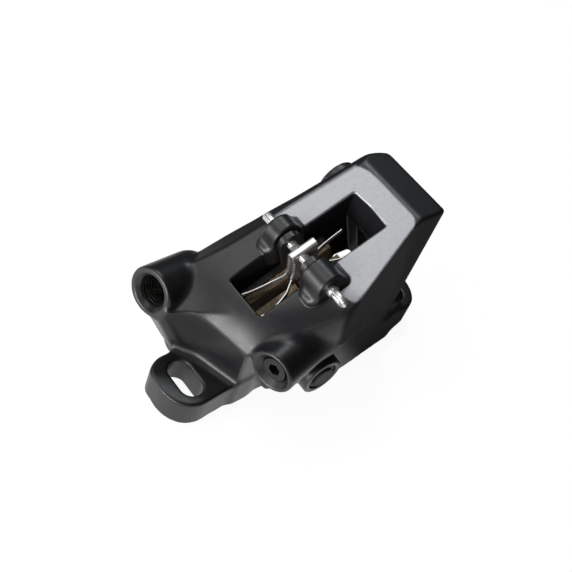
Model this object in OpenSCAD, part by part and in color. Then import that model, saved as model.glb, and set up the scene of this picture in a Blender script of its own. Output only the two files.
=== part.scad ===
// Bicycle disc brake caliper, four pistons, post mount, built as separate pieces.
// Millimetres. X runs from ear to ear, Y across the rotor, Z up along the bolts.
// The origin is on the mounting plane, midway between the two bolt slots.

/* [Mounting ears] */
// Distance between the two bolt slots
ear_pitch = 74.2; // [74:0.1:75]
// Width of a bolt slot
slot_w = 6.4; // [6.2:0.1:6.8]
// Length of a bolt slot across the rotor
slot_l = 11.7; // [10:0.1:13]
// Thickness of the ears
ear_t = 8.2; // [7:0.1:9]
// Width of an ear across the rotor
ear_w = 17.6; // [17:0.1:18]
// Overhang of an ear beyond the slot centre
ear_over = 7.4; // [7:0.1:8.5]

/* [Body] */
// Pitch of the top face against the mounting plane
pitch = 26; // [25:0.5:27]
// Rotor plane, measured across from the bolt line
rotor_y = 1.6; // [1:0.1:2.5]
// Height of the window centre above the mounting plane
top_z = 40.4; // [40:0.1:41]
// Window centre along the ears
top_x = -8.3; // [-8.8:0.1:-8]
// Height of the flat end block
end_z = 53.4; // [53:0.1:54]
// Right end wall, measured from the origin
end_x = 29.1; // [28.6:0.1:29.6]

/* [Window] */
// Window end on the left, from the window centre
win_left = 18; // [17.5:0.1:18.5]
// Window end on the right, from the window centre
win_right = 21.9; // [21.4:0.1:22.4]
// Window width across the rotor
win_w = 12.9; // [12.6:0.1:13.2]

/* [Ports] */
// Outer radius of the hose port barrel
hose_r = 6.8; // [6.5:0.1:7.2]
// Bore radius of the hose port
hose_bore_r = 4.15; // [3.9:0.05:4.3]
// Outer radius of the bleed barrel
bleed_r = 6.1; // [5.9:0.1:6.3]
// Outer radius of the side port boss
side_r = 6; // [5.8:0.1:6.4]

/* [Pistons and pads] */
// Piston radius
piston_r = 6.5; // [6:0.1:6.6]
// Distance between the two pistons on one side
piston_gap = 15; // [14.9:0.1:15.6]
// Length of a brake pad
pad_l = 28.2; // [27.6:0.1:29]
// Thickness of the friction material
lining_t = 2.4; // [2.2:0.1:2.5]
// Thickness of a backing plate
plate_t = 1.6; // [1.5:0.1:1.6]
// Gap between the friction faces
rotor_gap = 2.6; // [2.5:0.1:2.6]

/* [Pin and spring] */
// Radius of the split pin
pin_r = 1.15; // [1.1:0.05:1.2]
// Outer radius of the pin lugs
lug_r = 4.3; // [4.1:0.1:4.5]
// Height of the pin axis above the top face
pin_up = 2; // [1.8:0.1:2.2]
// Thickness of the spring steel
leaf_t = 0.45; // [0.4:0.05:0.5]

/* [Hidden] */
$fn = 64;
clear = 0.3;
running = 0.05;
over = 1;
wall = 1.5;
passage_r = 1.2;
pin_x = -0.5;
win_mid = (win_right - win_left) / 2;
face_y = rotor_gap / 2;
plate_y = face_y + lining_t;
back_y = plate_y + plate_t;
pocket_y = win_w / 2 - 0.15;
pocket_right = win_right - 3;
block_y = -10.5;
slot_half = 2.3;
pad_end_gap = 0.5;
pad_x = pad_l / 2 - win_left + pad_end_gap;
pad_top = -7.6;
pad_h = 17.5;
piston_z = -17.2;
piston_xs = [pad_x - piston_gap / 2, pad_x + piston_gap / 2];
near_end = 11.3;
piston_l = 5.4;
far_face = 17.4;
seal_r = 0.8;
seal_y = 8.2;
cap_r = piston_r + 0.7;
cap_t = 2.6;
lug_in = back_y + clear;
lug_far = 10.2;
lug_near = 12.5;
lug_root = 5;
skirt_left = -7.4;
skirt_right = 5.2;
skirt_up = 0.8;
pin_head = lug_near + running;
pin_tail = 14.6;
hose_l = 21;
hose_thread = 14.4;
seat_r = 3.4;
seat_t = 3;
hose_at = [-39.9, 16.6, 23.7];
hose_dir = [0, 9, 7.5];
screw_r = 3.3;
bleed_at = [-27.4, -18.2, 25.1];
bleed_dir = [0, -2, 13];
side_at = [-8.6, -21.4, 15.4];
side_bore_r = 4.35;
plug_at = [24.4, 18.6, -11.4];
plug_r = 5.3;
cheek_y = 1.2;
bridge_z = pin_up + pin_r + 0.75;
bridge_w = 7.6;
bridge_x = 0.5;
spring_foot = 4.4;
leg_z = -7;
leg_h = 1.8;
black = [0.09, 0.09, 0.1];
dark = [0.16, 0.16, 0.17];
steel = [0.78, 0.79, 0.8];
lining = [0.36, 0.3, 0.22];
rubber = [0.05, 0.05, 0.05];
bronze = [0.7, 0.55, 0.3];

// Frames shared by the pieces
module rotor_frame() {
    translate([0, rotor_y, 0]) children();
}

module tilt() {
    translate([top_x, rotor_y, top_z]) rotate([0, -pitch, 0]) children();
}

// A cylinder along Y from y = a to y = b
module across(a, b, r) {
    translate([0, a, 0]) rotate([-90, 0, 0]) cylinder(h = b - a, r = r);
}

// A barrel whose mouth faces the -X end; children are drawn along its axis, mouth at 0
module hose_axis() {
    rotor_frame() translate(hose_at) rotate([0, hose_dir[1], hose_dir[2]]) rotate([0, 90, 0]) children();
}

module bleed_axis() {
    rotor_frame() translate(bleed_at) rotate([0, bleed_dir[1], 0]) rotate([0, 0, bleed_dir[2]])
        rotate([0, 90, 0]) children();
}

module side_axis() {
    rotor_frame() translate(side_at) rotate([-90, 0, 0]) children();
}

// Outline of one ear with its small far corner and its large near corner
module ear_outline(inner) {
    far_r = 4;
    near_r = 7;
    union() {
        translate([-ear_over + far_r, ear_w / 2 - far_r]) circle(r = far_r);
        translate([-ear_over + near_r, -ear_w / 2 + near_r]) circle(r = near_r);
        translate([-ear_over, -ear_w / 2 + near_r]) square([inner + ear_over, ear_w - near_r - far_r]);
        translate([-ear_over + near_r, -ear_w / 2]) square([inner + ear_over - near_r, near_r + over]);
        translate([-ear_over + far_r, ear_w / 2 - far_r - over]) square([inner + ear_over - far_r, far_r + over]);
    }
}

module ear_slot() {
    run = (slot_l - slot_w) / 2;
    for (s = [-1, 1]) translate([0, s * run, -over]) cylinder(h = ear_t + 2 * over, r = slot_w / 2);
    translate([-slot_w / 2, -run, -over]) cube([slot_w, 2 * run, ear_t + 2 * over]);
}

// Plan of the walls, seen along the bolts
module wall_plan() {
    polygon([[-31.3, 6.7], [-25.8, -10.3], [-21, -12.6], [-15, -14], [-10, -17.5], [-6, -21.4], [end_x - 3.2, -11.1],
             [end_x - 0.9, block_y], [end_x, block_y + 1.1],
             [end_x, 9.2], [end_x - 1.2, 12.4], [end_x - 4.4, 13.9], [20, 14.7], [8, 15.6], [1.5, 16.2],
             [-7, 17.8], [-15.5, 19.2], [-24, 20], [-29, 19]]);
}

// Plan of the set back wall under the ledge on the near side
module band_plan() {
    polygon([[-31.3, 6.7], [-25.8, -9.6], [-17, -9.6], [-12, -11.8], [-7, -13.2], [5, -15.2], [14, -14.2],
             [end_x - 3, -12.3], [end_x - 0.9, -11.5], [end_x, -10], [end_x, 13], [10, 40], [-31.3, 40]]);
}

// Everything above the pitched top face and the flat end block is cut away
module above_top() {
    tilt() translate([-90, -60, 0]) cube([180, 120, 60]);
    translate([-80, -60, end_z]) cube([160, 120, 60]);
}

// The long chamfer on the far edge of the top face
module far_chamfer() {
    tilt() translate([8.6, 12.2, 0]) rotate([0, 0, -3.2]) rotate([-37, 0, 0])
        translate([-70, 0, 0]) cube([140, 30, 30]);
}

// Cuts away everything past a plane; az and el give the way its outer side faces
module cut_beyond(at, az, el) {
    translate(at) rotate([0, 90 - el, az]) translate([-100, -100, 0]) cube([200, 200, 60]);
}

// The slope on the left end, from the shoulder beside the window down to the crease
module left_slope() {
    rotor_frame() cut_beyond([-26.5, -2, 28.7], 194, 30);
}

module upper_block() {
    difference() {
        rotor_frame() linear_extrude(height = 62) wall_plan();
        above_top();
        far_chamfer();
        left_slope();
        near_undercut();
        near_slope();
        right_draft();
        far_corner();
    }
}

// Below the ledge on the near side the wall is set back to the plain side band
module near_undercut() {
    difference() {
        rotor_frame() translate([end_x, 0, ear_t + 1.2]) rotate([0, pitch, 0])
            translate([-80, -40, -70]) cube([80 + over, 60, 70]);
        rotor_frame() translate([0, 0, -over]) linear_extrude(height = 90) band_plan();
    }
}

// The long sloping wall on the near side stops at the flat side of the end block
module near_slope() {
    slope_az = 17.5;
    slope_lean = 4.1;
    rotor_frame() intersection() {
        translate([15.2, -11.7, 51.9]) rotate([0, 0, slope_az]) rotate([-slope_lean, 0, 0])
            translate([-60, -30, -80]) cube([120, 30, 100]);
        translate([-80, -60 + block_y, -over]) cube([160, 60, 90]);
    }
}

// The right end leans in a little towards the top
module right_draft() {
    rotor_frame() cut_beyond([end_x - 1.2, 0, end_z], 0, 1.6);
}

// Below the end block the rotor leaves through an open far corner
module far_corner() {
    rotor_frame() translate([16, -slot_half, -over]) cube([40, 60, 22 + over]);
}

// Gusset under the hose barrel, cut off level with the barrel's mouth
module gusset() {
    difference() {
        rotor_frame() translate([0, 19.4, 0]) rotate([90, 0, 0])
            linear_extrude(height = 10.6)
            polygon([[-41.6, 22], [-34, 7.4], [-24, 7.4], [-20, 26], [-26, 30], [-38, 29]]);
        hose_axis() translate([-20, -20, -20]) cube([40, 40, 20 + running]);
    }
}

module barrels() {
    hose_axis() {
        cylinder(h = hose_l - hose_r, r = hose_r);
        translate([0, 0, hose_l - hose_r]) sphere(r = hose_r);
    }
    bleed_axis() cylinder(h = 30, r = bleed_r);
    side_axis() cylinder(h = 14, r = side_r);
    tilt() translate([plug_at[0], 0, plug_at[2]]) across(8, plug_at[1], plug_r + 0.9);
    tilt() for (x = piston_xs) translate([x, 0, piston_z]) {
        across(8, far_face, cap_r + 1.4);
        across(-near_end - wall, -8, piston_r + wall);
    }
}

// A lug and the low skirt it stands on, from y = a to y = b
module lug(a, b) {
    across(a, b, lug_r);
    translate([-lug_r, a, -pin_up - lug_root]) cube([2 * lug_r, b - a, lug_root + pin_up]);
}

module lugs() {
    tilt() {
        translate([pin_x, 0, pin_up]) {
            lug(lug_in, lug_far);
            lug(-lug_near, -lug_in);
        }
        translate([skirt_left, lug_in, -lug_root]) cube([skirt_right - skirt_left, lug_far - lug_in, lug_root + skirt_up]);
        translate([skirt_left, -lug_near, -lug_root])
            cube([skirt_right - skirt_left, 4.5, lug_root + skirt_up]);
    }
}

// The pad pocket below the window, with a slanting face at its right end
module pocket() {
    intersection() {
        tilt() translate([-win_left, -win_w / 2, -70]) cube([win_left + pocket_right, win_w, 80]);
        translate([-60, -60, -over]) cube([60 + 21.7, 120, 90]);
    }
    slab(-win_w / 2, win_w / 2)
        polygon([[pocket_right - 4, 6], [win_right + 0.6, 6], [win_right, 0], [pocket_right, -8.5], [pocket_right - 4, -8.5]]);
}

// The rotor runs out through the underside and the right end
module rotor_slot() {
    tilt_top = pad_top - 3;
    intersection() {
        tilt() translate([-win_left, -slot_half, -70]) cube([80, 2 * slot_half, 70 + tilt_top]);
        union() {
            translate([-60, -60, ear_t]) cube([60 + end_x + over, 120, 60]);
            translate([-60, -60, -over]) cube([60 + 21.7, 120, 60]);
        }
    }
}

module bores() {
    tilt() for (x = piston_xs) translate([x, 0, piston_z]) {
        across(-near_end, -2, piston_r + running);
        across(2, far_face + over, piston_r + running);
        across(far_face - cap_t, far_face + 9, cap_r + running);
        for (s = [0, 1]) mirror([0, s, 0]) across(seal_y, seal_y + 2 * seal_r, piston_r + seal_r);
    }
}

module port_bores() {
    hose_axis() {
        translate([0, 0, -over]) cylinder(h = over + hose_thread, r = hose_bore_r);
        cylinder(h = hose_thread + seat_t, r = seat_r);
        translate([0, 0, -over]) cylinder(h = over + 1.2, r = 5.2);
    }
    rotor_frame() translate([-24, 17.4, 20.8]) rotate([0, 90, -32]) cylinder(h = 11, r = passage_r);
    bleed_axis() {
        translate([0, 0, -over]) cylinder(h = 14, r = screw_r + 0.1);
        translate([0, 0, -over]) cylinder(h = over + 1.1, r = 4.7);
        cylinder(h = 32, r = passage_r);
    }
    side_axis() {
        translate([0, 0, -over]) cylinder(h = over + 5, r = side_bore_r);
        cylinder(h = 11, r = 2.6);
    }
    tilt() translate([plug_at[0], 0, plug_at[2]]) {
        across(plug_at[1] - 2.4, plug_at[1] + over, plug_r - 0.6);
        across(9.5, plug_at[1], 1.5);
    }
    tilt() translate([pin_x, 0, pin_up]) across(-lug_near - over, lug_near + over, pin_r + 0.1);
}

module ears() {
    root_left = 24;
    root_right = ear_pitch / 2 - end_x + 5;
    for (s = [0, 1]) mirror([s, 0, 0]) translate([-ear_pitch / 2, 0, 0])
        linear_extrude(height = ear_t) ear_outline(s == 0 ? root_left : root_right);
}

module caliper_body() {
    color(black) difference() {
        union() {
            difference() {
                union() {
                    upper_block();
                    gusset();
                    barrels();
                    ears();
                }
                pocket();
                rotor_slot();
            }
            lugs();
        }
        translate([-60, -60, -60]) cube([120, 120, 60]);
        bores();
        port_bores();
        for (s = [-1, 1]) translate([s * ear_pitch / 2, 0, 0]) ear_slot();
    }
}

// Pads: a steel plate with a tab that hangs on the pin, and the lining on it
module plate_outline() {
    tab_w = 6.4;
    union() {
        translate([pad_x - pad_l / 2 + 1.5, pad_top - pad_h + 1.5]) square([pad_l - 3, pad_h - 1.5]);
        translate([pad_x - pad_l / 2, pad_top - pad_h + 3]) square([pad_l, pad_h - 4.5]);
        for (s = [-1, 1]) {
            translate([pad_x + s * (pad_l / 2 - 1.5), pad_top - 1.5]) circle(r = 1.5);
            translate([pad_x + s * (pad_l / 2 - 3), pad_top - pad_h + 3]) circle(r = 3);
        }
        translate([pin_x - tab_w / 2, pad_top - over]) square([tab_w, pin_up - pad_top + over]);
        translate([pin_x, pin_up]) circle(r = tab_w / 2);
    }
}

// Draws a flat outline in the window frame, from y = a to y = b
module slab(a, b) {
    tilt() translate([0, b, 0]) rotate([90, 0, 0]) linear_extrude(height = b - a) children();
}

module plate(s) {
    slab(s > 0 ? plate_y : -back_y, s > 0 ? back_y : -plate_y) difference() {
        plate_outline();
        translate([pin_x, pin_up]) circle(r = pin_r + 0.25);
    }
}

module lining_outline() {
    inset = 1;
    corner = 2.5;
    w = pad_l - 2 * inset;
    h = pad_h - 2.2;
    union() {
        translate([pad_x - w / 2, pad_top - 0.8 - h + corner]) square([w, h - corner]);
        translate([pad_x - w / 2 + corner, pad_top - 0.8 - h]) square([w - 2 * corner, h]);
        for (s = [-1, 1]) translate([pad_x + s * (w / 2 - corner), pad_top - 0.8 - h + corner]) circle(r = corner);
    }
}

// The groove across the friction face does not reach the plate
module lining_pad(s) {
    groove_w = 1.2;
    groove_d = lining_t - 0.8;
    difference() {
        slab(s > 0 ? face_y : -plate_y, s > 0 ? plate_y : -face_y) lining_outline();
        slab(s > 0 ? face_y - over : -face_y - groove_d, s > 0 ? face_y + groove_d : over - face_y)
            translate([pad_x - groove_w / 2, pad_top - pad_h - over]) square([groove_w, pad_h + 2 * over]);
    }
}

// Pistons are cups that open towards the pad
module piston(x, s) {
    tilt() translate([x, 0, piston_z]) mirror([0, s > 0 ? 0 : 1, 0]) difference() {
        across(back_y + running, back_y + piston_l, piston_r);
        across(back_y - over, back_y + piston_l - 1.8, piston_r - 1.8);
    }
}

module seal(x, s) {
    tilt() translate([x, 0, piston_z]) mirror([0, s > 0 ? 0 : 1, 0]) difference() {
        across(seal_y + running, seal_y + 2 * seal_r - running, piston_r + seal_r - running);
        across(seal_y - over, seal_y + 2 * seal_r + over, piston_r + running);
    }
}

// Caps that close the two bores on the far side, with a two pin key
module bore_cap(x) {
    tilt() translate([x, 0, piston_z]) difference() {
        across(far_face - cap_t + running, far_face - 0.3, cap_r);
        for (s = [-1, 1]) translate([s * 4.6, 0, 0]) across(far_face - 1.9, far_face + over, 1);
        across(far_face - 1.1, far_face + over, 2.6);
    }
}

// The spring is one bent piece: a bridge over the pin, two cheeks and four legs
module spring_saddle() {
    waist = 2.9;
    inner = cheek_y - leaf_t;
    difference() {
        slab(-cheek_y, cheek_y)
            polygon([[bridge_x - bridge_w / 2, bridge_z], [bridge_x + bridge_w / 2, bridge_z],
                     [bridge_x + bridge_w / 2, pin_up - 1], [pin_x + waist, -3.2],
                     [pin_x + spring_foot, -4.6], [pin_x + spring_foot, leg_z - 0.2],
                     [pin_x - spring_foot, leg_z - 0.2], [pin_x - spring_foot, -4.6],
                     [pin_x - waist, -3.2], [bridge_x - bridge_w / 2, pin_up - 1]]);
        slab(-inner, inner) translate([-20, -20]) square([40, 20 + bridge_z - leaf_t]);
        tilt() translate([pin_x, 0, pin_up]) across(-10, 10, pin_r + 0.2);
        tilt() translate([pin_x, 0, -4.6]) across(-10, 10, 1.2);
    }
}

// One straight run of a leg, a blade on edge from a to b in the window plan
module blade(a, b) {
    d = b - a;
    tilt() translate([a[0], a[1], leg_z]) rotate([0, 0, atan2(d[1], d[0])])
        translate([0, -leaf_t / 2, 0]) cube([norm(d) + leaf_t / 2, leaf_t, leg_h]);
}

// A leg starts on a cheek, bends outwards and runs along above the pad
module leg(root, bend, tip) {
    blade(root, bend);
    blade(bend, tip);
}

module pad_spring() {
    mid_y = cheek_y - leaf_t / 2;
    root = spring_foot - 0.25;
    color(steel) union() {
        spring_saddle();
        blade([pin_x - root, mid_y], [-16.8, 3.4]);
        blade([pin_x + root, mid_y], [14.2, 2.5]);
        leg([pin_x - root, -mid_y], [-8.8, -3.9], [-16.6, -4.7]);
        leg([pin_x + root, -mid_y], [7.2, -3.4], [13.5, -4.9]);
    }
}

// A split pin with a collar and an upright eye at the near end
module split_pin() {
    eye_r = 1;
    wire_r = 0.85;
    neck = 2.8;
    color(steel) tilt() translate([pin_x, 0, pin_up]) union() {
        across(-pin_head - neck, pin_tail, pin_r);
        translate([0, pin_tail, 0]) sphere(r = pin_r);
        across(-pin_head - 1.4, -pin_head, pin_r + 0.4);
        translate([0, -pin_head - neck - eye_r, 0]) rotate([0, 90, 0])
            rotate_extrude() translate([eye_r, 0]) circle(r = wire_r);
    }
}

// Bleed screw with its hexagon socket, standing a little inside the barrel mouth
module bleed_screw() {
    hex_w = 3;
    head_t = 3;
    color(dark) bleed_axis() difference() {
        union() {
            translate([0, 0, 1.4]) cylinder(h = head_t, r = screw_r);
            translate([0, 0, 1.4 + head_t]) cylinder(h = 7, r = screw_r - 0.7);
        }
        translate([0, 0, -over]) cylinder(h = 5.2, r = hex_w / 2 / cos(30), $fn = 6);
    }
}

module bleed_ring() {
    color(rubber) bleed_axis() translate([0, 0, 5.6]) rotate_extrude() translate([screw_r - 0.3, 0]) circle(r = 0.38);
}

module side_seat() {
    color(dark) side_axis() translate([0, 0, 1.8]) difference() {
        cylinder(h = seat_t, r = side_bore_r - running);
        translate([0, 0, -over]) cylinder(h = seat_t + 2 * over, r = passage_r + 0.4);
        translate([0, 0, -over]) cylinder(h = over + 0.8, r = 2.9);
    }
}

module side_cap() {
    color(rubber) side_axis() {
        translate([0, 0, 0.4]) cylinder(h = 1.3, r = side_bore_r - 0.3);
        translate([0, 0, -0.3]) cylinder(h = 0.8, r = 3);
        translate([0, 0, 1]) cylinder(h = 3.4, r = 1.3);
    }
}

module passage_plug() {
    color(dark) tilt() translate([plug_at[0], 0, plug_at[2]]) difference() {
        across(plug_at[1] - 2.3, plug_at[1] + 0.2, plug_r - 0.65);
        across(plug_at[1] - 1.4, plug_at[1] + over, 1.8);
    }
}

module hose_seat() {
    color(bronze) hose_axis() difference() {
        translate([0, 0, hose_thread + running]) cylinder(h = seat_t - running, r = seat_r - running);
        translate([0, 0, hose_thread - over]) cylinder(h = seat_t + 2 * over, r = passage_r + 0.2);
    }
}

module plate_near() {
    color(dark) plate(-1);
}

module plate_far() {
    color(dark) plate(1);
}

module lining_near() {
    color(lining) lining_pad(-1);
}

module lining_far() {
    color(lining) lining_pad(1);
}

caliper_body();
plate_near();
plate_far();
lining_near();
lining_far();
pad_spring();
split_pin();
color(steel) piston(piston_xs[0], -1);  // piston_near_left
color(steel) piston(piston_xs[1], -1);  // piston_near_right
color(steel) piston(piston_xs[0], 1);  // piston_far_left
color(steel) piston(piston_xs[1], 1);  // piston_far_right
color(rubber) seal(piston_xs[0], -1);  // seal_near_left
color(rubber) seal(piston_xs[1], -1);  // seal_near_right
color(rubber) seal(piston_xs[0], 1);  // seal_far_left
color(rubber) seal(piston_xs[1], 1);  // seal_far_right
color(dark) bore_cap(piston_xs[0]);  // bore_cap_left
color(dark) bore_cap(piston_xs[1]);  // bore_cap_right
bleed_screw();
bleed_ring();
side_seat();
side_cap();
passage_plug();
hose_seat();
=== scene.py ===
import math

import bmesh
import bpy
import numpy as np
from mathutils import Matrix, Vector


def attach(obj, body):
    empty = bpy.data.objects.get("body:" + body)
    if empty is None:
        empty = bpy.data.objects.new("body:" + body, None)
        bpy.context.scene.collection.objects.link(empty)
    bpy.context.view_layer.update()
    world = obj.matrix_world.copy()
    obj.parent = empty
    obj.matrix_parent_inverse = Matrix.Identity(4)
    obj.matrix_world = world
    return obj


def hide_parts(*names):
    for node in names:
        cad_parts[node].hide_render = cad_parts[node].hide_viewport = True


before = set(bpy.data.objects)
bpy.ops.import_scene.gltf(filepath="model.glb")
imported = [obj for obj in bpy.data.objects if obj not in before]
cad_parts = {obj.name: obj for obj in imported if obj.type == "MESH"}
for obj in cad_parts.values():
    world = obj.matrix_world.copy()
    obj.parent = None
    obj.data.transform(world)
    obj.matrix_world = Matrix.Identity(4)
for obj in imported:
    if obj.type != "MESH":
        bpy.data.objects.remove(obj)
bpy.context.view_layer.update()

# Frames. Lengths are millimetres in frame B: the record's frame moved so that y = 0 is the rotor plane.
# Frame W is B pitched about Y, with its origin in the top face beside the pin.
MM_PER_M = 1000.0
ROTOR_Y = 1.6
PITCH = math.radians(26)
CP, SP = math.cos(PITCH), math.sin(PITCH)
TOP = (-8.3, 0.0, 40.4)
Y_AXIS = np.array([0.0, 1.0, 0.0])


def w2b(x, y, z):
    """A point of the pitched window frame W in frame B."""
    return np.array([x * CP - z * SP + TOP[0], y, x * SP + z * CP + TOP[2]])


def b2w(x, z):
    """The pitched coordinates xw, zw of points in frame B."""
    dx, dz = x - TOP[0], z - TOP[2]
    return dx * CP + dz * SP, -dx * SP + dz * CP


def b2m(v):
    """Frame B millimetres to the record's metres."""
    v = np.asarray(v, float)
    return (v + np.array([0.0, ROTOR_Y, 0.0])) / MM_PER_M


# Distance functions: negative inside a form, in millimetres
def smin(a, b, k):
    """Joins two forms with a fillet that starts k before they meet."""
    h = np.maximum(k - np.abs(a - b), 0.0) / k
    return np.minimum(a, b) - h * h * k * 0.25


def smax(a, b, k):
    """Keeps what two forms share, with the edge rounded from k before it."""
    h = np.maximum(k - np.abs(a - b), 0.0) / k
    return np.maximum(a, b) + h * h * k * 0.25


def soften(pts, r, steps=4):
    """The polygon with each corner replaced by a small arc that starts r before it."""
    pts = np.array(pts, float)
    out = []
    for i, p in enumerate(pts):
        u, v = pts[i - 1] - p, pts[(i + 1) % len(pts)] - p
        lu, lv = np.linalg.norm(u), np.linalg.norm(v)
        q = min(r, 0.45 * lu, 0.45 * lv)
        s, e = p + u / lu * q, p + v / lv * q
        for j in range(steps + 1):
            t = j / steps
            out.append((1 - t) ** 2 * s + 2 * t * (1 - t) * p + t * t * e)
    return np.array(out)


def poly_sdf(u, v, pts):
    """Distance to a closed polygon in the plane of u and v."""
    d = np.full(u.shape, 1e9)
    inside = np.zeros(u.shape, bool)
    for (ax, ay), (bx, by) in zip(pts, np.roll(pts, -1, axis=0)):
        ex, ey = bx - ax, by - ay
        wx, wy = u - ax, v - ay
        t = np.clip((wx * ex + wy * ey) / (ex * ex + ey * ey), 0, 1)
        d = np.minimum(d, (wx - t * ex) ** 2 + (wy - t * ey) ** 2)
        crosses = (ay > v) != (by > v)
        if by != ay:
            inside ^= crosses & (u < (bx - ax) * (v - ay) / (by - ay) + ax)
    d = np.sqrt(d)
    return np.where(inside, -d, d)


def along(P, a, d):
    """How far points lie along d from a, and how far off that axis."""
    q = P - np.asarray(a, float)
    t = q @ np.asarray(d, float)
    return t, np.sqrt(np.maximum((q * q).sum(1) - t * t, 0))


def rod(P, a, d, length, r, e=0.0):
    """A cylinder from a along d, its rims rounded by e."""
    t, rad = along(P, a, d)
    d1 = rad - (r - e)
    d2 = np.abs(t - length / 2) - (length / 2 - e)
    return np.minimum(np.maximum(d1, d2), 0) + np.hypot(np.maximum(d1, 0), np.maximum(d2, 0)) - e


def block(u, v, w, lo, hi, e=0.0):
    """An axis box in the given coordinates with its edges rounded by e."""
    c = [(lo[i] + hi[i]) / 2 for i in range(3)]
    h = [(hi[i] - lo[i]) / 2 - e for i in range(3)]
    q = [np.abs(x - c[i]) - h[i] for i, x in enumerate((u, v, w))]
    out = np.sqrt(sum(np.maximum(x, 0) ** 2 for x in q))
    return out + np.minimum(np.maximum(q[0], np.maximum(q[1], q[2])), 0) - e


def unit(v):
    v = np.asarray(v, float)
    return v / np.linalg.norm(v)


# Sizes of the body and its fittings. The pin is drawn thicker than part.scad's radius of 1.15
END_X, END_Z, EAR_T, EAR_X = 29.1, 53.4, 8.2, 37.1
SLOT_R, SLOT_HALF = 3.2, 2.65
BLOCK_Y = -11.0
WIN_L, WIN_R, WIN_HALF = 18.0, 21.9, 6.45
ROTOR_HALF = 2.3
PAD_X, PISTON_SPREAD = -3.4, 7.5
PISTONS = (PAD_X - PISTON_SPREAD, PAD_X + PISTON_SPREAD)
PISTON_Z, PISTON_R = -17.2, 6.5
CAP_R, CAP_DEPTH = 7.2, 2.6
FAR_FACE, NEAR_END = 17.4, 11.3
PIN_X, PIN_Z, PIN_R = -0.5, 2.0, 1.32
LUG_IN, LUG_FAR, LUG_NEAR, LUG_R = 5.6, 10.2, 12.5, 4.3
HOSE_AT, HOSE_D = np.array([-39.9, 16.6, 23.7]), unit([0.97924, 0.12892, -0.15643])
HOSE_R, HOSE_BORE, HOSE_L, HOSE_THREAD = 6.8, 4.15, 21.0, 14.4
HOSE_SEAT_R, HOSE_SEAT_L = 3.4, 3.0
BLEED_AT, BLEED_D = np.array([-27.4, -18.2, 25.1]), unit([0.97378, 0.22495, 0.034])
BLEED_R, BLEED_L, BLEED_BORE, BLEED_DEPTH = 6.1, 30, 3.4, 13
MOUTH_R, MOUTH_DEPTH = 5.35, 3
SIDE_AT = np.array([-8.6, -21.4, 15.4])
SIDE_R, SIDE_L, SIDE_BORE, SIDE_BORE_L, SIDE_DEEP_R, SIDE_DEEP_L = 6.0, 14, 4.35, 5, 2.6, 11
PLUG = (24.4, 18.6, -11.4)
PLUG_BOSS_R, PLUG_R, PLUG_DEPTH = 6.2, 4.7, 2.4
PLAY = 0.05
PIN_PLAY = 0.08
BEYOND = 12

# Plan outlines of the body in frame B, and the gusset's outline in x and z
WALL = soften([(-34.5, 6.7), (-31.5, -12.4), (-24, -16), (-14, -19), (-6, -21.4), (25.4, -11.6),
               (28.2, -10.7), (END_X, -8.7), (END_X, 9.2), (END_X - 1.2, 12.4), (END_X - 4.4, 13.9),
               (20, 14.7), (8, 15.6), (1.5, 16.2), (-7, 17.8), (-15.5, 19.2), (-24, 20), (-29, 19)], 1.6)
BAND = soften([(-34.5, 6.7), (-31.5, -11.6), (-17, -10), (-12, -11.8), (-7, -13.2), (5, -15.2),
               (14, -14.2), (26.1, -12.3), (28.2, -11.5), (END_X, -10), (END_X, 13), (10, 40),
               (-31.3, 40)], 1.4)
EAR_RIGHT = soften([(20, 6.9), (40.4, 6.9), (44.2, 4.4), (44.5, -2.7), (43.4, -6.2), (41.3, -9.0),
                    (38.4, -10.35), (20, -10.9)], 2.4)
EAR_LEFT = soften([(20, 6.9), (40.4, 6.9), (44.3, 4.4), (44.7, -2.7), (43.6, -6.3), (41.3, -9.0),
                   (38.0, -10.2), (31, -9.6), (20, -9.0)], 2.2)
FOOT = soften([(4, -8), (4, -15.2), (10, -15.0), (30.5, -12.7), (37, -10.3), (37, -6)], 1.2)
GUSSET = soften([(-41.4, 21), (-34, 7.4), (-24, 7.4), (-22, 20), (-30, 22.5), (-39, 23.5)], 1.2)

# Left end: a slope from the shoulder down to a slanting crease, and a wall from there in to the ear
SHOULDER_X, SHOULDER_Z = -26.0, 31.8
CREASE_X, CREASE_Y, CREASE_Z, CREASE_SLANT = -32.3, 7, 24.0, 0.166
ROOT_Y = (-14, -10.8, 0, 6.6, 20)
ROOT_X = (-24.2, -25.4, -29.4, -31, -32.5)
# Brings a distance measured straight across a slanted face near its true size
SLANT_SCALE = 0.95

# Right end and the sloping near wall
END_LEAN, END_SET = math.radians(1.6), 1.2
NEAR_AT = np.array([15.2, -11.7, 51.9])
NEAR_TURN, NEAR_LEAN = math.radians(17.5), math.radians(4.1)
NEAR_N = np.array([math.cos(NEAR_LEAN) * math.sin(NEAR_TURN), -math.cos(NEAR_LEAN) * math.cos(NEAR_TURN),
                   math.sin(NEAR_LEAN)])

# Far chamfer, by a point of its edge in frame W and its tilt and turn
CHAMFER_X, CHAMFER_Y = 8.6, 12.2
CHAMFER_TILT, CHAMFER_TURN = math.radians(37), math.radians(3.2)
CHAMFER_N = (math.sin(CHAMFER_TILT) * math.sin(CHAMFER_TURN), math.sin(CHAMFER_TILT) * math.cos(CHAMFER_TURN),
             math.cos(CHAMFER_TILT))

# Ledge of the near wall, the tuck beside the bleed barrel, and the rotor's way out at the far corner
LEDGE_Z, LEDGE_TOP = 9.4, 25
LEDGE_STEP, LEDGE_STEP_X, LEDGE_STEP_RUN = 10, -9, 4
TUCK_Y, TUCK_OUT, TUCK_X = -9.5, 2.0, -15
EXIT_X, EXIT_Z = 15.5, 23.5


def wider(xw):
    """How far the far chamfer stands out past part.scad's, and more so to the right of the lugs."""
    t = np.clip((xw + 4) / 10.0, 0, 1)
    return 0.55 + 0.3 * t * t * (3 - 2 * t)


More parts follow.
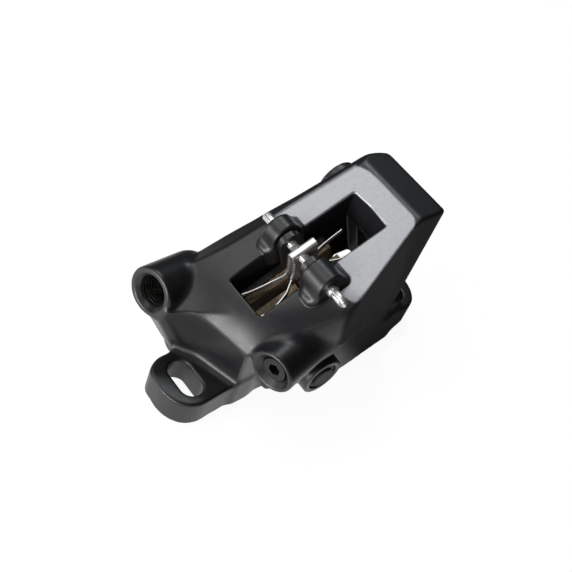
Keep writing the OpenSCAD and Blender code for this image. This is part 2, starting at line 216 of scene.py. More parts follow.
def far_chamfer(xw, y, zw):
    nx, ny, nz = CHAMFER_N
    return nx * (xw - CHAMFER_X) + ny * (y - CHAMFER_Y) + nz * zw - wider(xw)


def top_rolls_down(xw, y, zw):
    """Two planes by which the top rolls down into the bleed barrel."""
    beside = -0.212 * (xw + 18) - 0.56 * (y + 9) + 0.8 * zw
    ahead = -0.4 * (xw + 7.4) - 0.445 * (y + 13) + 0.8 * zw
    return smin(beside, ahead, 3.0)


def upper(P, xw, zw):
    """The pitched body: plan outline, top face, far chamfer, left end, sloping near wall and its ledge."""
    x, y, z = P[:, 0], P[:, 1], P[:, 2]
    crease = CREASE_X + (CREASE_Y - y) * CREASE_SLANT
    run = (crease - SHOULDER_X) / (SHOULDER_Z - CREASE_Z)
    slope = (SHOULDER_X + run * (SHOULDER_Z - z) - x) / np.sqrt(1 + run * run)
    root = np.interp(y, ROOT_Y, ROOT_X)
    rise = np.clip((z - EAR_T) / (CREASE_Z - EAR_T), 0, 1.3)
    f = smax(poly_sdf(x, y, WALL), (root + (crease - root) * rise - x) * SLANT_SCALE, 1.2)
    top = smax(zw, slope, 4.0)
    # the right end leans in a little towards the top
    f = smax(f, (x - (END_X - END_SET)) * math.cos(END_LEAN) + (z - END_Z) * math.sin(END_LEAN), 0.8)
    # the sloping near wall stops at the flat side of the end block
    f = smax(f, smin((P - NEAR_AT) @ NEAR_N, BLOCK_Y - y, 0.8), 0.8)
    f = smax(f, z - END_Z, 1.1)
    f = smax(f, top, 0.5)
    f = smax(f, far_chamfer(xw, y, zw), 0.5)
    f = smax(f, top_rolls_down(xw, y, zw), 4.0)
    # below the ledge the near wall is set back to the plain band
    ledge = (x - END_X) * SP + (z - LEDGE_Z) * CP
    step = LEDGE_STEP * np.clip((x - LEDGE_STEP_X) / LEDGE_STEP_RUN, 0, 1)
    ledge = np.maximum(ledge, z - LEDGE_TOP - step)
    f = smax(f, smin(-ledge, poly_sdf(x, y, BAND), 1.6), 0.9)
    # beside the bleed barrel the near face also runs back in towards the ear
    tuck = np.minimum(np.minimum(TUCK_Y - TUCK_OUT * rise - y, LEDGE_TOP - z), TUCK_X - x)
    f = smax(f, tuck, 1.0)
    # the rotor leaves through an open far corner
    corner = np.maximum(np.maximum(EXIT_X - x, -ROTOR_HALF - y), z - EXIT_Z)
    return smax(f, -corner, 0.4)


# Pin lugs and the low skirt round each: half length and rounding in plan, middle and height in frame W
SKIRT_X, SKIRT_HALF, SKIRT_ROUND, SKIRT_Z, SKIRT_ROOT = -1.0, 4.6, 1.8, 1.2, -6
SKIRT_NEAR_LO, SKIRT_NEAR_HI = -0.1, 5.0
LUG_ROOT = -5


def lug(P, xw, zw, lo, hi, skirt_lo, skirt_hi):
    """A pin lug from lo to hi across the rotor, with its skirt."""
    y = P[:, 1]
    f = rod(P, w2b(PIN_X, lo, PIN_Z), Y_AXIS, hi - lo, LUG_R, 0.35)
    stem = block(xw, y, zw, (PIN_X - LUG_R, lo, LUG_ROOT), (PIN_X + LUG_R, hi, PIN_Z), 0.3)
    u = np.abs(xw - SKIRT_X) - SKIRT_HALF
    v = np.abs(y - (skirt_lo + skirt_hi) / 2) - (skirt_hi - skirt_lo) / 2 + SKIRT_ROUND
    plan = np.hypot(np.maximum(u, 0), np.maximum(v, 0)) + np.minimum(np.maximum(u, v), 0) - SKIRT_ROUND
    skirt = smax(smax(plan, zw - SKIRT_Z, 1.5), SKIRT_ROOT - zw, 0.5)
    return smin(np.minimum(f, stem), skirt, 2.6)


def lugs(P, xw, zw):
    far = lug(P, xw, zw, LUG_IN, LUG_FAR, LUG_IN, LUG_FAR)
    near = lug(P, xw, zw, -LUG_NEAR, -LUG_IN, SKIRT_NEAR_LO - LUG_NEAR, SKIRT_NEAR_HI - LUG_NEAR)
    return far, near


# Gusset between the hose barrel and the left ear: its near face, far face and slanted left face
GUSSET_NEAR, GUSSET_TURN, GUSSET_X, GUSSET_FAR = 8.7, 0.32, -37.6, 19.4
CUT_X, CUT_Y, CUT_Z = -31, 6.6, 8.2


def hose_side(f, P):
    """Joins the hose barrel, with a rounded inner end, and its gusset to f."""
    x, y, z = P[:, 0], P[:, 1], P[:, 2]
    t, rad = along(P, HOSE_AT, HOSE_D)
    barrel = smax(np.hypot(rad, np.maximum(t - (HOSE_L - HOSE_R), 0)) - HOSE_R, -t, 0.9)
    near = (GUSSET_NEAR - GUSSET_TURN * (x - GUSSET_X) - y) * SLANT_SCALE
    g = smax(poly_sdf(x, z, GUSSET), near, 0.8)
    up = z - CUT_Z
    g = smax(g, -0.64 * (x - CUT_X + 0.56 * up) - 0.77 * (y - CUT_Y - 0.178 * up), 0.6)
    f = smin(f, smax(smax(g, y - GUSSET_FAR, 1.2), -t, 0.6), 7.0)
    return smin(f, barrel, 1.3)


BOSS_FROM = 8
NEAR_BOSS_Y, NEAR_BOSS_L = -12.8, 5
FOOT_TOP, FOOT_FLARE = 9, 0.16
EAR_GROW = 0.3


def bosses(f, P):
    """Joins the bleed barrel, side boss, passage boss and the low bosses over the pistons to f."""
    f = smin(f, rod(P, BLEED_AT, BLEED_D, BLEED_L, BLEED_R, 1.1), 2.2)
    f = smin(f, rod(P, SIDE_AT, Y_AXIS, SIDE_L, SIDE_R, 0.5), 1.8)
    at = w2b(PLUG[0], BOSS_FROM, PLUG[2])
    f = smin(f, rod(P, at, Y_AXIS, PLUG[1] - BOSS_FROM, PLUG_BOSS_R, 0.4), 1.2)
    for px in PISTONS:
        at = w2b(px, BOSS_FROM, PISTON_Z)
        f = smin(f, rod(P, at, Y_AXIS, FAR_FACE - BOSS_FROM, CAP_R + 1.4, 0.5), 1.2)
        f = smin(f, rod(P, w2b(px, NEAR_BOSS_Y, PISTON_Z), Y_AXIS, NEAR_BOSS_L, PISTON_R + 1.5, 0.5), 1.0)
    return f


def ears(f, P):
    """Joins both ears, and the foot of the near band by the right ear, to f."""
    x, y, z = P[:, 0], P[:, 1], P[:, 2]
    for side, outline in ((-1, EAR_LEFT), (1, EAR_RIGHT)):
        plan = poly_sdf(side * x, y, outline) - EAR_GROW
        f = smin(f, smax(smax(plan, z - EAR_T, 0.9), -z, 0.3), 3.2)
    foot = smax(poly_sdf(x, y, FOOT) + FOOT_FLARE * z, z - FOOT_TOP, 1.0)
    return smin(f, foot, 1.2)


# Window: its right wall leans at the top, is V-shaped in plan and steps in below the pads
WALL_LEAN, WALL_V = 0.1, 0.5
STEP_X, STEP_RUN, STEP_Z = 18.9, 3, 8.5
SLOT_X, SLOT_FLOOR, SLOT_END = 21.7, -10.6, 32


def cut_pocket(f, P, xw, zw):
    """Cuts the window with its pad pocket, and the rotor slot, which is open to the right and below."""
    x, y, z = P[:, 0], P[:, 1], P[:, 2]
    below = np.clip(STEP_X + STEP_RUN * (zw + STEP_Z) / STEP_Z, STEP_X, WIN_R)
    right = np.where(zw > 0, WIN_R + WALL_LEAN * zw, below)
    right = right + WALL_V * (1 - np.abs(y) / WIN_HALF)
    pocket = smax(np.abs(y) - WIN_HALF, -(xw + WIN_L), 0.7)
    pocket = smax(pocket, smax(xw - right, x - SLOT_X, 0.5), 0.7)
    f = smax(f, -pocket, 0.45)
    end = np.minimum(np.maximum(EAR_T - z, x - SLOT_END), x - SLOT_X)
    slot = np.maximum(np.maximum(np.abs(y) - ROTOR_HALF, -(xw + WIN_L)), np.maximum(zw - SLOT_FLOOR, end))
    return smax(f, -slot, 0.4)


def cut_bores(f, P):
    """Cuts the piston bores, the seats of their caps and the pin's hole."""
    for px in PISTONS:
        at = w2b(px, -NEAR_END, PISTON_Z)
        f = smax(f, -rod(P, at, Y_AXIS, NEAR_END - 2, PISTON_R + PLAY), 0.3)
        f = smax(f, -rod(P, w2b(px, 2, PISTON_Z), Y_AXIS, 30, PISTON_R + PLAY), 0.3)
        at = w2b(px, FAR_FACE - CAP_DEPTH, PISTON_Z)
        f = smax(f, -rod(P, at, Y_AXIS, BEYOND, CAP_R + PLAY), 0.3)
    return smax(f, -rod(P, w2b(PIN_X, -14, PIN_Z), Y_AXIS, 28, PIN_R + PIN_PLAY), 0.25)


def cut_ports(f, P):
    """Cuts the hose, bleed and side ports and the recess of the passage plug."""
    x, y, z = P[:, 0], P[:, 1], P[:, 2]
    t, rad = along(P, HOSE_AT, HOSE_D)
    core = np.maximum(rad - HOSE_BORE, t - HOSE_THREAD)
    cone = np.maximum((rad - MOUTH_R + t * 0.95) * 0.72, t - MOUTH_DEPTH)
    seat = np.maximum(rad - HOSE_SEAT_R, t - HOSE_THREAD - HOSE_SEAT_L)
    f = smax(f, -np.minimum(np.minimum(core, cone), seat), 0.3)
    t, rad = along(P, BLEED_AT, BLEED_D)
    core = np.maximum(rad - BLEED_BORE, t - BLEED_DEPTH)
    cone = np.maximum((rad - MOUTH_R + t) * 0.707, t - MOUTH_DEPTH)
    f = smax(f, -np.minimum(core, cone), 0.3)
    rad = np.hypot(x - SIDE_AT[0], z - SIDE_AT[2])
    core = np.maximum(rad - SIDE_BORE, y - SIDE_AT[1] - SIDE_BORE_L)
    deep = np.maximum(rad - SIDE_DEEP_R, y - SIDE_AT[1] - SIDE_DEEP_L)
    f = smax(f, -np.minimum(core, deep), 0.35)
    at = w2b(PLUG[0], 0, PLUG[2])
    rad = np.hypot(x - at[0], z - at[2])
    return smax(f, -np.maximum(rad - PLUG_R, PLUG[1] - PLUG_DEPTH - y), 0.3)


def cut_slots(f, P):
    """Cuts the bolt slots of the ears."""
    x, y = P[:, 0], P[:, 1]
    for side in (-1, 1):
        rad = np.hypot(x - side * EAR_X, np.maximum(np.abs(y + ROTOR_Y) - SLOT_HALF, 0))
        f = smax(f, -(rad - SLOT_R), 0.55)
    return f


def solid(P):
    """Signed distance of the caliper body in frame B, negative inside."""
    xw, zw = b2w(P[:, 0], P[:, 2])
    f = hose_side(upper(P, xw, zw), P)
    f = ears(bosses(f, P), P)
    f = cut_pocket(f, P, xw, zw)
    for one in lugs(P, xw, zw):
        f = smin(f, one, 0.45)
    f = cut_slots(cut_ports(cut_bores(f, P), P), P)
    return smax(f, -P[:, 2], 0.3)


# Surface nets: turn the distance into a mesh of quads
BLOCK_CELLS = 6
CHUNK = 150000
DETOUR, SWELL = 1.25, 1.3


def field(P):
    out = np.empty(len(P))
    for i in range(0, len(P), CHUNK):
        out[i:i + CHUNK] = solid(P[i:i + CHUNK])
    return out


def sample(lo, hi, h):
    """The distance at grid points, sampled only in the blocks of cells that the surface may cross."""
    pitch = h * BLOCK_CELLS
    nb = np.ceil((hi - lo) / pitch).astype(int)
    n = nb * BLOCK_CELLS
    middles = [np.arange(k) * h * BLOCK_CELLS + lo[i] + pitch / 2 for i, k in enumerate(nb)]
    c = field(np.stack(np.meshgrid(*middles, indexing="ij"), -1).reshape(-1, 3))
    live = np.abs(c) < pitch * 0.5 * math.sqrt(3) * DETOUR + SWELL
    F = np.sign(c).reshape(nb)
    for axis in range(3):
        F = np.repeat(F, BLOCK_CELLS, axis)
    F = np.pad(F, ((0, 1), (0, 1), (0, 1)), mode="edge").astype(np.float32)
    need = np.zeros(n + 1, bool)
    for i, j, k in np.argwhere(live.reshape(nb)) * BLOCK_CELLS:
        need[i:i + BLOCK_CELLS + 1, j:j + BLOCK_CELLS + 1, k:k + BLOCK_CELLS + 1] = True
    F[need] = field(np.argwhere(need) * h + lo).astype(np.float32)
    return F, n


def cell_points(F, cell, corners):
    """One point per crossed cell: the mean of the crossings on its twelve edges."""
    acc = np.zeros((len(cell), 3))
    num = np.zeros(len(cell))
    for a in corners:
        for axis in range(3):
            if a[axis]:
                continue
            b = list(a)
            b[axis] = 1
            fa, fb = F[tuple((cell + a).T)], F[tuple((cell + b).T)]
            m = (fa < 0) != (fb < 0)
            t = fa[m] / (fa[m] - fb[m])
            p = np.tile(np.array(a, float), (m.sum(), 1))
            p[:, axis] += t
            acc[m] += p
            num[m] += 1
    return cell + acc / num[:, None]


def cell_quads(ins, ids, n):
    """A quad round each grid edge that crosses the surface, turned to face outwards."""
    quads = []
    for axis in range(3):
        u, v = (axis + 1) % 3, (axis + 2) % 3
        here = [slice(1, n[i]) for i in range(3)]
        ahead = list(here)
        here[axis], ahead[axis] = slice(0, n[axis]), slice(1, n[axis] + 1)
        A, B = ins[tuple(here)], ins[tuple(ahead)]
        e = np.argwhere(A != B)
        outward = A[tuple(e.T)]
        first = np.ones(3, int)
        first[axis] = 0
        e = e + first
        ring = []
        for du, dv in ((1, 1), (0, 1), (0, 0), (1, 0)):
            q = e.copy()
            q[:, u] -= du
            q[:, v] -= dv
            ring.append(ids[tuple(q.T)])
        quad = np.stack(ring, 1)
        quad[~outward] = quad[~outward][:, ::-1]
        quads.append(quad)
    return np.concatenate(quads)


def settle(V, h):
    """Pulls the vertices onto the surface along its gradient."""
    eps = h * 0.08
    for _ in range(2):
        f0 = field(V)
        G = np.stack([(field(V + eps * np.eye(3)[i]) - f0) / eps for i in range(3)], 1)
        step = G * (f0 / np.maximum((G * G).sum(1), 0.25))[:, None]
        length = np.linalg.norm(step, axis=1)
        step *= np.minimum(1, 0.35 * h / np.maximum(length, 1e-9))[:, None]
        V = V - step
    return V


def surface(lo, hi, h):
    """Vertices and quads of the body's surface, at mesh step h."""
    lo, hi = np.array(lo, float), np.array(hi, float)
    F, n = sample(lo, hi, h)
    ins = F < 0
    corners = [(i, j, k) for i in (0, 1) for j in (0, 1) for k in (0, 1)]
    cnt = np.zeros(n, np.int8)
    for i, j, k in corners:
        cnt += ins[i:i + n[0], j:j + n[1], k:k + n[2]]
    cell = np.argwhere((cnt > 0) & (cnt < 8))
    ids = np.full(n, -1, np.int64)
    ids[tuple(cell.T)] = np.arange(len(cell))
    V = cell_points(F, cell, corners) * h + lo
    return settle(V, h), cell_quads(ins, ids, n)


# Mesh helpers
def mesh_object(name, verts_m, faces, smooth=True):
    """An object from vertices in metres, and faces as a list or as an array of quads."""
    me = bpy.data.meshes.new(name)
    verts_m = np.asarray(verts_m, float)
    if isinstance(faces, np.ndarray):
        me.vertices.add(len(verts_m))
        me.vertices.foreach_set("co", verts_m.astype(np.float32).ravel())
        k = faces.shape[1]
        me.loops.add(faces.size)
        me.loops.foreach_set("vertex_index", faces.astype(np.int32).ravel())
        me.polygons.add(len(faces))
        me.polygons.foreach_set("loop_start", np.arange(0, faces.size, k, dtype=np.int32))
        me.update(calc_edges=True)
    else:
        me.from_pydata([tuple(v) for v in verts_m], [], [tuple(f) for f in faces])
        me.update()
    me.validate()
    ob = bpy.data.objects.new(name, me)
    bpy.context.scene.collection.objects.link(ob)
    if smooth:
        me.polygons.foreach_set("use_smooth", np.ones(len(me.polygons), bool))
    return ob


def fix_normals(ob):
    bm = bmesh.new()
    bm.from_mesh(ob.data)
    bmesh.ops.recalc_face_normals(bm, faces=bm.faces)
    bm.to_mesh(ob.data)
    bm.free()


def band_faces(rows, seg, closed=False):
    """Quads between rows of seg points, with end caps unless the rows close on themselves."""
    F = []
    for i in range(rows if closed else rows - 1):
        p, q = i * seg, (i + 1) % rows * seg
        for j in range(seg):
            k = (j + 1) % seg
            F.append((p + j, p + k, q + k, q + j))
    if not closed:
        F.append(tuple(reversed(range(seg))))
        F.append(tuple(range((rows - 1) * seg, rows * seg)))
    return F


def side_vectors(d):
    """Two unit vectors across the unit vector d."""
    ref = np.array([0.0, 0.0, 1.0]) if abs(d[2]) < 0.9 else np.array([1.0, 0.0, 0.0])
    u = unit(np.cross(d, ref))
    return u, np.cross(d, u)


def circle(seg):
    return [2 * math.pi * j / seg for j in range(seg)]


def lathe(name, at, d, profile, seg, wobble=None):
    """A closed turned piece: profile is (distance along d, radius), in frame B."""
    d = unit(d)
    u, v = side_vectors(d)
    V = []
    for t, r in profile:
        for a in circle(seg):
            rr = r + (wobble(t, a) if wobble else 0.0)
            V.append(np.asarray(at) + d * t + (u * math.cos(a) + v * math.sin(a)) * rr)
    ob = mesh_object(name, b2m(V), band_faces(len(profile), seg))
    fix_normals(ob)
    return ob


def spline(pts, per):
    """Catmull-Rom points through pts, per of them to a span."""
    P = np.array([pts[0]] + list(pts) + [pts[-1]], float)
    out = []
    for p0, p1, p2, p3 in zip(P, P[1:], P[2:], P[3:]):
        for j in range(per):
            t = j / per
            out.append(0.5 * ((2 * p1) + (p2 - p0) * t + (2 * p0 - 5 * p1 + 4 * p2 - p3) * t ** 2
                              + (3 * p1 - p0 - 3 * p2 + p3) * t ** 3))
    out.append(P[-2])
    return np.array(out)


def wire_loop(name, path, radius, seg):
    """A round wire along a closed path."""
    path = np.asarray(path, float)
    n = len(path)
    V = []
    nrm = None
    for i in range(n):
        tg = unit(path[(i + 1) % n] - path[i - 1])
        if nrm is None:
            nrm = side_vectors(tg)[0]
        nrm = unit(nrm - tg * (nrm @ tg))
        bn = np.cross(tg, nrm)
        for a in circle(seg):
            V.append(path[i] + (nrm * math.cos(a) + bn * math.sin(a)) * radius)
    ob = mesh_object(name, b2m(V), band_faces(n, seg, closed=True))
    fix_normals(ob)
    return ob


def arc(cx, cz, r, a0, a1, n):
    """Points of a round stretch from angle a0 to a1."""
    angles = [a0 + (a1 - a0) * i / n for i in range(n + 1)]
    return [(cx + r * math.cos(a), cz + r * math.sin(a)) for a in angles]


# Material helpers
def new_material(name):
    m = bpy.data.materials.new(name)
    m.use_nodes = True
    nt = m.node_tree
    for n in list(nt.nodes):
        nt.nodes.remove(n)
    out = nt.nodes.new("ShaderNodeOutputMaterial")
    sh = nt.nodes.new("ShaderNodeBsdfPrincipled")
    nt.links.new(sh.outputs["BSDF"], out.inputs["Surface"])
    return m, nt, sh, out


def noise(nt, coord, scale, detail=3.0, rough=0.55, stretch=None):
    n = nt.nodes.new("ShaderNodeTexNoise")
    n.inputs["Scale"].default_value = scale
    n.inputs["Detail"].default_value = detail
    n.inputs["Roughness"].default_value = rough
    src = coord.outputs["Object"]
    if stretch:
        mp = nt.nodes.new("ShaderNodeMapping")
        mp.inputs["Scale"].default_value = stretch
        nt.links.new(src, mp.inputs["Vector"])
        src = mp.outputs["Vector"]
    nt.links.new(src, n.inputs["Vector"])
    return n.outputs["Fac"]


def ramp(nt, fac, stops):
    """Colour by a value, through (position, colour) stops."""
    r = nt.nodes.new("ShaderNodeValToRGB")
    els = r.color_ramp.elements
    while len(els) > len(stops):
        els.remove(els[-1])
    while len(els) < len(stops):
        els.new(0.5)
    for e, (p, c) in zip(els, stops):
        e.position = p
        e.color = (c[0], c[1], c[2], 1)
    nt.links.new(fac, r.inputs["Fac"])
    return r.outputs["Color"]


def remap(nt, fac, lo, hi):
    """Spreads the middle of a noise's range over lo to hi."""
    r = nt.nodes.new("ShaderNodeMapRange")
    r.inputs["From Min"].default_value = 0.3
    r.inputs["From Max"].default_value = 0.7
    r.inputs["To Min"].default_value = lo
    r.inputs["To Max"].default_value = hi
    nt.links.new(fac, r.inputs["Value"])
    return r.outputs["Result"]


def calc(nt, operation, *values):
    """A math node; each value is a number or another node's output."""
    n = nt.nodes.new("ShaderNodeMath")
    n.operation = operation
    for socket, value in zip(n.inputs, values):
        if isinstance(value, (int, float)):
            socket.default_value = value
        else:
            nt.links.new(value, socket)
    return n.outputs[0]


def bump(nt, height, strength, distance):
    b = nt.nodes.new("ShaderNodeBump")
    b.inputs["Strength"].default_value = strength
    b.inputs["Distance"].default_value = distance
    nt.links.new(height, b.inputs["Height"])
    return b.outputs["Normal"]


def mottle(nt, a, share_a, b, share_b):
    """Two noises added up in the given shares."""
    return calc(nt, "ADD", remap(nt, a, 0.0, share_a), remap(nt, b, 0.0, share_b))


def finish(name, dark, light, rough, rough_var=0.06, metallic=0.0, grain=2600.0, grain_depth=2.0e-5,
           stretch=None, specular=0.5):
    """Satin or bright finish: cloudy colour, fine grain in the bump and uneven roughness."""
    m, nt, sh, _ = new_material(name)
    co = nt.nodes.new("ShaderNodeTexCoord")
    big = noise(nt, co, 60.0, 4.0)
    fine = noise(nt, co, grain, 2.0, 0.6, stretch)
    color = ramp(nt, mottle(nt, big, 0.6, fine, 0.4), [(0.1, dark), (0.9, light)])
    nt.links.new(color, sh.inputs["Base Color"])
    nt.links.new(remap(nt, fine, rough - rough_var, rough + rough_var), sh.inputs["Roughness"])
    nt.links.new(bump(nt, fine, 0.5, grain_depth), sh.inputs["Normal"])
    sh.inputs["Metallic"].default_value = metallic
    sh.inputs["Specular IOR Level"].default_value = specular
    return m


BLACK = [(0.3, (0.0050, 0.0053, 0.0062)), (0.7, (0.0088, 0.0093, 0.0108))]
# Light grey painted on the top face as the top lamp's reflection on the black skin
PAINTED_SHEEN = [(0.1, (0.33, 0.335, 0.35)), (0.9, (0.425, 0.43, 0.445))]
FRICTION = [(0.3, (0.10, 0.068, 0.034)), (0.55, (0.21, 0.155, 0.092)), (0.75, (0.34, 0.27, 0.18))]


def body_material():
    """Black anodised skin; where "lit" is 1 the top face carries a painted reflection of the top lamp: light
    grey, metallic and a little rougher.
    """
    m, nt, sh, _ = new_material("anodised")
    co = nt.nodes.new("ShaderNodeTexCoord")
    big = noise(nt, co, 45.0, 4.0)
    fine = noise(nt, co, 2300.0, 2.0, 0.6)
    grain = noise(nt, co, 900.0, 3.0, 0.7)
    # the lit attribute masks a painted reflection: light grey, metallic and a little rougher on the top face
    at = nt.nodes.new("ShaderNodeAttribute")
    at.attribute_name = "lit"
    lit = at.outputs["Fac"]
    mx = nt.nodes.new("ShaderNodeMix")
    mx.data_type = "RGBA"
    nt.links.new(lit, mx.inputs["Factor"])
    nt.links.new(ramp(nt, big, BLACK), mx.inputs["A"])
    nt.links.new(ramp(nt, mottle(nt, fine, 0.5, grain, 0.5), PAINTED_SHEEN), mx.inputs["B"])
    nt.links.new(mx.outputs["Result"], sh.inputs["Base Color"])
    nt.links.new(calc(nt, "MULTIPLY", lit, 0.8), sh.inputs["Metallic"])
    rough = calc(nt, "MULTIPLY_ADD", lit, 0.04, remap(nt, grain, 0.36, 0.42))
    nt.links.new(rough, sh.inputs["Roughness"])
    nt.links.new(bump(nt, fine, 0.5, 1.6e-5), sh.inputs["Normal"])
    sh.inputs["Specular IOR Level"].default_value = 0.55
    return m


def lining_material():
    """Pressed friction compound: brown, with coarse darker and brassy grains."""
    m, nt, sh, _ = new_material("friction")
    co = nt.nodes.new("ShaderNodeTexCoord")
    v = nt.nodes.new("ShaderNodeTexVoronoi")
    v.inputs["Scale"].default_value = 1500.0
    nt.links.new(co.outputs["Object"], v.inputs["Vector"])
    n = noise(nt, co, 700.0, 4.0, 0.7)
    nt.links.new(ramp(nt, n, FRICTION), sh.inputs["Base Color"])
    nt.links.new(bump(nt, v.outputs["Distance"], 0.7, 1.0e-4), sh.inputs["Normal"])
    nt.links.new(remap(nt, n, 0.55, 0.85), sh.inputs["Roughness"])
    return m


MAT = {
    "body": body_material(),
    "plate": finish("plate_steel", (0.030, 0.030, 0.031), (0.060, 0.059, 0.058), 0.34, metallic=0.7,
                    stretch=(1, 1, 0.12), grain=1800),
    "lining": lining_material(),
    "bright": finish("bright_steel", (0.56, 0.55, 0.54), (0.70, 0.69, 0.68), 0.30, 0.05, 0.8,
                     stretch=(1, 0.08, 1), grain=2400, grain_depth=1.5e-6),
    "spring": finish("spring_steel", (0.58, 0.57, 0.56), (0.74, 0.73, 0.72), 0.30, 0.05, 0.75,
                     stretch=(0.12, 1, 1), grain=2200, grain_depth=2e-6),
    "piston": finish("piston_face", (0.45, 0.44, 0.42), (0.62, 0.61, 0.59), 0.30, 0.06, 1.0),
    "rubber": finish("rubber", (0.010, 0.010, 0.010), (0.022, 0.022, 0.023), 0.62, 0.08, grain=1500,
                     grain_depth=4e-5, specular=0.35),
    "screw": finish("black_screw", (0.005, 0.005, 0.006), (0.010, 0.010, 0.011), 0.34, 0.05, specular=0.3,
                    stretch=(0.2, 1, 1)),
    "cap": finish("bore_cap", (0.014, 0.0145, 0.016), (0.026, 0.027, 0.029), 0.30, 0.05, specular=0.6),
    "seat": finish("bronze_seat", (0.30, 0.20, 0.09), (0.48, 0.34, 0.17), 0.32, 0.06, 1.0),
    "thread": finish("thread_black", (0.008, 0.008, 0.009), (0.016, 0.016, 0.017), 0.36, 0.05, specular=0.35),
}


def paint(ob, key):
    if not ob.data.materials:
        ob.data.materials.append(MAT[key])
    for slot in ob.material_slots:
        slot.material = MAT[key]


def bevel(ob, width_mm, angle=35):
    b = ob.modifiers.new("edge", "BEVEL")
    b.width = width_mm / MM_PER_M
    b.segments = 2
    b.limit_method = "ANGLE"
    b.angle_limit = math.radians(angle)
    b.harden_normals = False


# The body's skin: mesh step, the box that holds it, and where its painted reflection ends
STEP, STEP_QUICK = 0.38, 0.75
SKIN_LO, SKIN_HI = (-47.5, -25.4, -1.2), (47.5, 26.5, 56.5)
LIT_SKIN, LIT_FADE = 0.40, 0.12
LIT_PAST_CHAMFER, LIT_NEAR_INSET, LIT_END_INSET = 0.55, 0.15, 0.35
SHEEN_GAP_X, SHEEN_GAP_END = -8.2, 5.9


def clear(distance):
    """1 where the distance is above nought, 0 below, with a soft border."""
    return np.clip(distance / 0.25 + 0.5, 0, 1)


def painted_reflection_mask(V):
    """Mask of the painted reflection of the top lamp: 1 on the top face to the right of the lugs, up to its
    edge breaks, and 0 elsewhere.
    """
    x, y, z = V[:, 0], V[:, 1], V[:, 2]
    xw, zw = b2w(x, z)
    far = -far_chamfer(xw, y, zw) + LIT_PAST_CHAMFER
    end = (END_Z - LIT_END_INSET - z) * 2.2
    near = np.minimum((V - NEAR_AT) @ NEAR_N, BLOCK_Y - y)
    inside = smin(smin(far, end, 5.0), -near - LIT_NEAR_INSET, 3.2)
    left = np.where(y > 0, xw - 1.5 - 0.25 * (12 - y), xw - 2.4 + 0.30 * (y + 19))
    lit = np.clip((zw + LIT_SKIN) / LIT_FADE, 0, 1) * clear(np.minimum(inside, left)) * (zw < 0.35)
    # the painted reflection stops short of the lugs and their skirts
    far_sheen_gap = block(xw, y, zw, (SHEEN_GAP_X, LUG_IN - 1, -9), (SHEEN_GAP_END, LUG_FAR + 0.4, 9), 1.2)
    near_sheen_gap = block(xw, y, zw, (SHEEN_GAP_X, -LUG_NEAR - 1.2, -9), (SHEEN_GAP_END, -LUG_IN + 1, 9), 2.2)
    return lit * clear(np.minimum(far_sheen_gap, near_sheen_gap))


def make_body():
    V, Q = surface(SKIN_LO, SKIN_HI, STEP)
    ob = mesh_object("body_skin", b2m(V), Q)
    attribute = ob.data.attributes.new("lit", "FLOAT", "POINT")
    # the lit attribute marks where the top face is painted with the lamp's reflection
    attribute.data.foreach_set("value", painted_reflection_mask(V).astype(np.float32))
    paint(ob, "body")
    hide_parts("caliper_body")
    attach(ob, "caliper")


# Split pin: distances are along the pin from the rotor plane, towards the far side
PIN_HEAD, PIN_TAIL, PIN_EDGE = -12.6, 14.38, 0.9
GROOVE_RAMP = 0.15
GROOVES = ((-6.0, 0.30, 0.22), (-3.1, 0.25, 0.20), (2.3, 0.30, 0.20), (4.6, 0.35, 0.25))
SLIT_DEPTH, SLIT_WIDTH, SLIT_FROM = 0.16, 0.13, -12
EYE_AT, EYE_L, EYE_HALF, EYE_SKEW, EYE_WIRE, EYE_STEPS = -13.3, 4.3, 1.0, 0.12, 0.93, 72
COLLAR_R, COLLAR_NEAR, COLLAR_FAR = 1.6, -13.95, -12.55


def groove(start, floor, depth):
    """The profile points of one turned groove."""
    a, b = start + GROOVE_RAMP, start + GROOVE_RAMP + floor
    return [(start, PIN_R), (a, PIN_R - depth), (b, PIN_R - depth), (b + GROOVE_RAMP, PIN_R)]


def slit(t, a):
    """How far the fine slit between the pin's two legs sinks in at angle a."""
    return -SLIT_DEPTH * math.exp(-((math.sin(a) / SLIT_WIDTH) ** 2)) if t > SLIT_FROM else 0.0


def make_pin():
    """Split pin: two half-round legs with a fine slit, grooves, a collar and a drop-shaped eye."""
    at = w2b(PIN_X, 0, PIN_Z)
    profile = [(PIN_HEAD, PIN_R * PIN_EDGE), (PIN_HEAD + 0.2, PIN_R)]
    for one in GROOVES:
        profile += groove(*one)
    profile += [(PIN_TAIL - 0.38, PIN_R), (PIN_TAIL - 0.08, PIN_R * PIN_EDGE), (PIN_TAIL - 0.02, PIN_R * 0.8),
                (PIN_TAIL, PIN_R * 0.1)]
    shank = lathe("pin_shank", at, Y_AXIS, profile, 48, slit)
    loop = []
    for a in circle(EYE_STEPS):
        k = 0.5 - 0.5 * math.cos(a)
        rise = EYE_HALF * math.sin(a) * (0.55 + 0.6 * k)
        loop.append(w2b(PIN_X + EYE_SKEW * math.sin(a), EYE_AT - EYE_L * k, PIN_Z + rise))
    eye = wire_loop("pin_eye", loop, EYE_WIRE, 32)
    profile = [(COLLAR_NEAR, COLLAR_R - 0.3), (COLLAR_NEAR + 0.05, COLLAR_R - 0.1),
               (COLLAR_NEAR + 0.35, COLLAR_R), (COLLAR_FAR - 0.2, COLLAR_R), (COLLAR_FAR, COLLAR_R - 0.1)]
    collar = lathe("pin_collar", at, Y_AXIS, profile, 48)
    for ob in (shank, eye, collar):
        paint(ob, "bright")
        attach(ob, "pin")
        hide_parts("split_pin")


